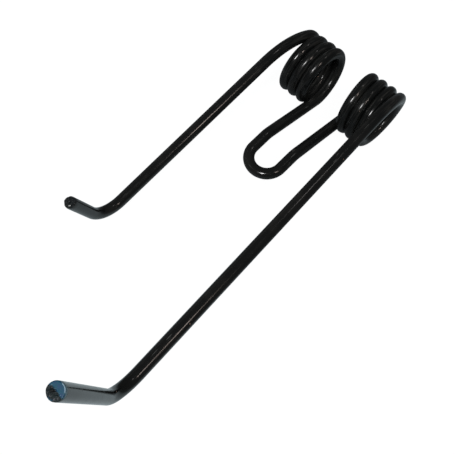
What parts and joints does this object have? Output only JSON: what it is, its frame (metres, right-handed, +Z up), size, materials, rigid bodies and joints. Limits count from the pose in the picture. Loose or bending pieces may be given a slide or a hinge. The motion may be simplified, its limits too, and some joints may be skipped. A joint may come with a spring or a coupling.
{
  "type": "double rake spring tine",
  "caption": "Double spring tine for a hay rake: one bent round wire with a mounting loop, two coils, and two unequal legs with turned-up tips.",
  "frame": {"origin": "on the floor that the tine lies on, under the middle of its box", "axes": "+X along both coils' axis, from the short leg's coil to the long leg's; the legs run towards -Y; +Z up, with the tips turned up"},
  "size_m": [0.1274, 0.3458, 0.1377],
  "materials": {
    "black_paint": "gloss"
  },
  "bodies": {
    "root": {"spring_tine": "black_paint"}
  },
  "joints": []
}
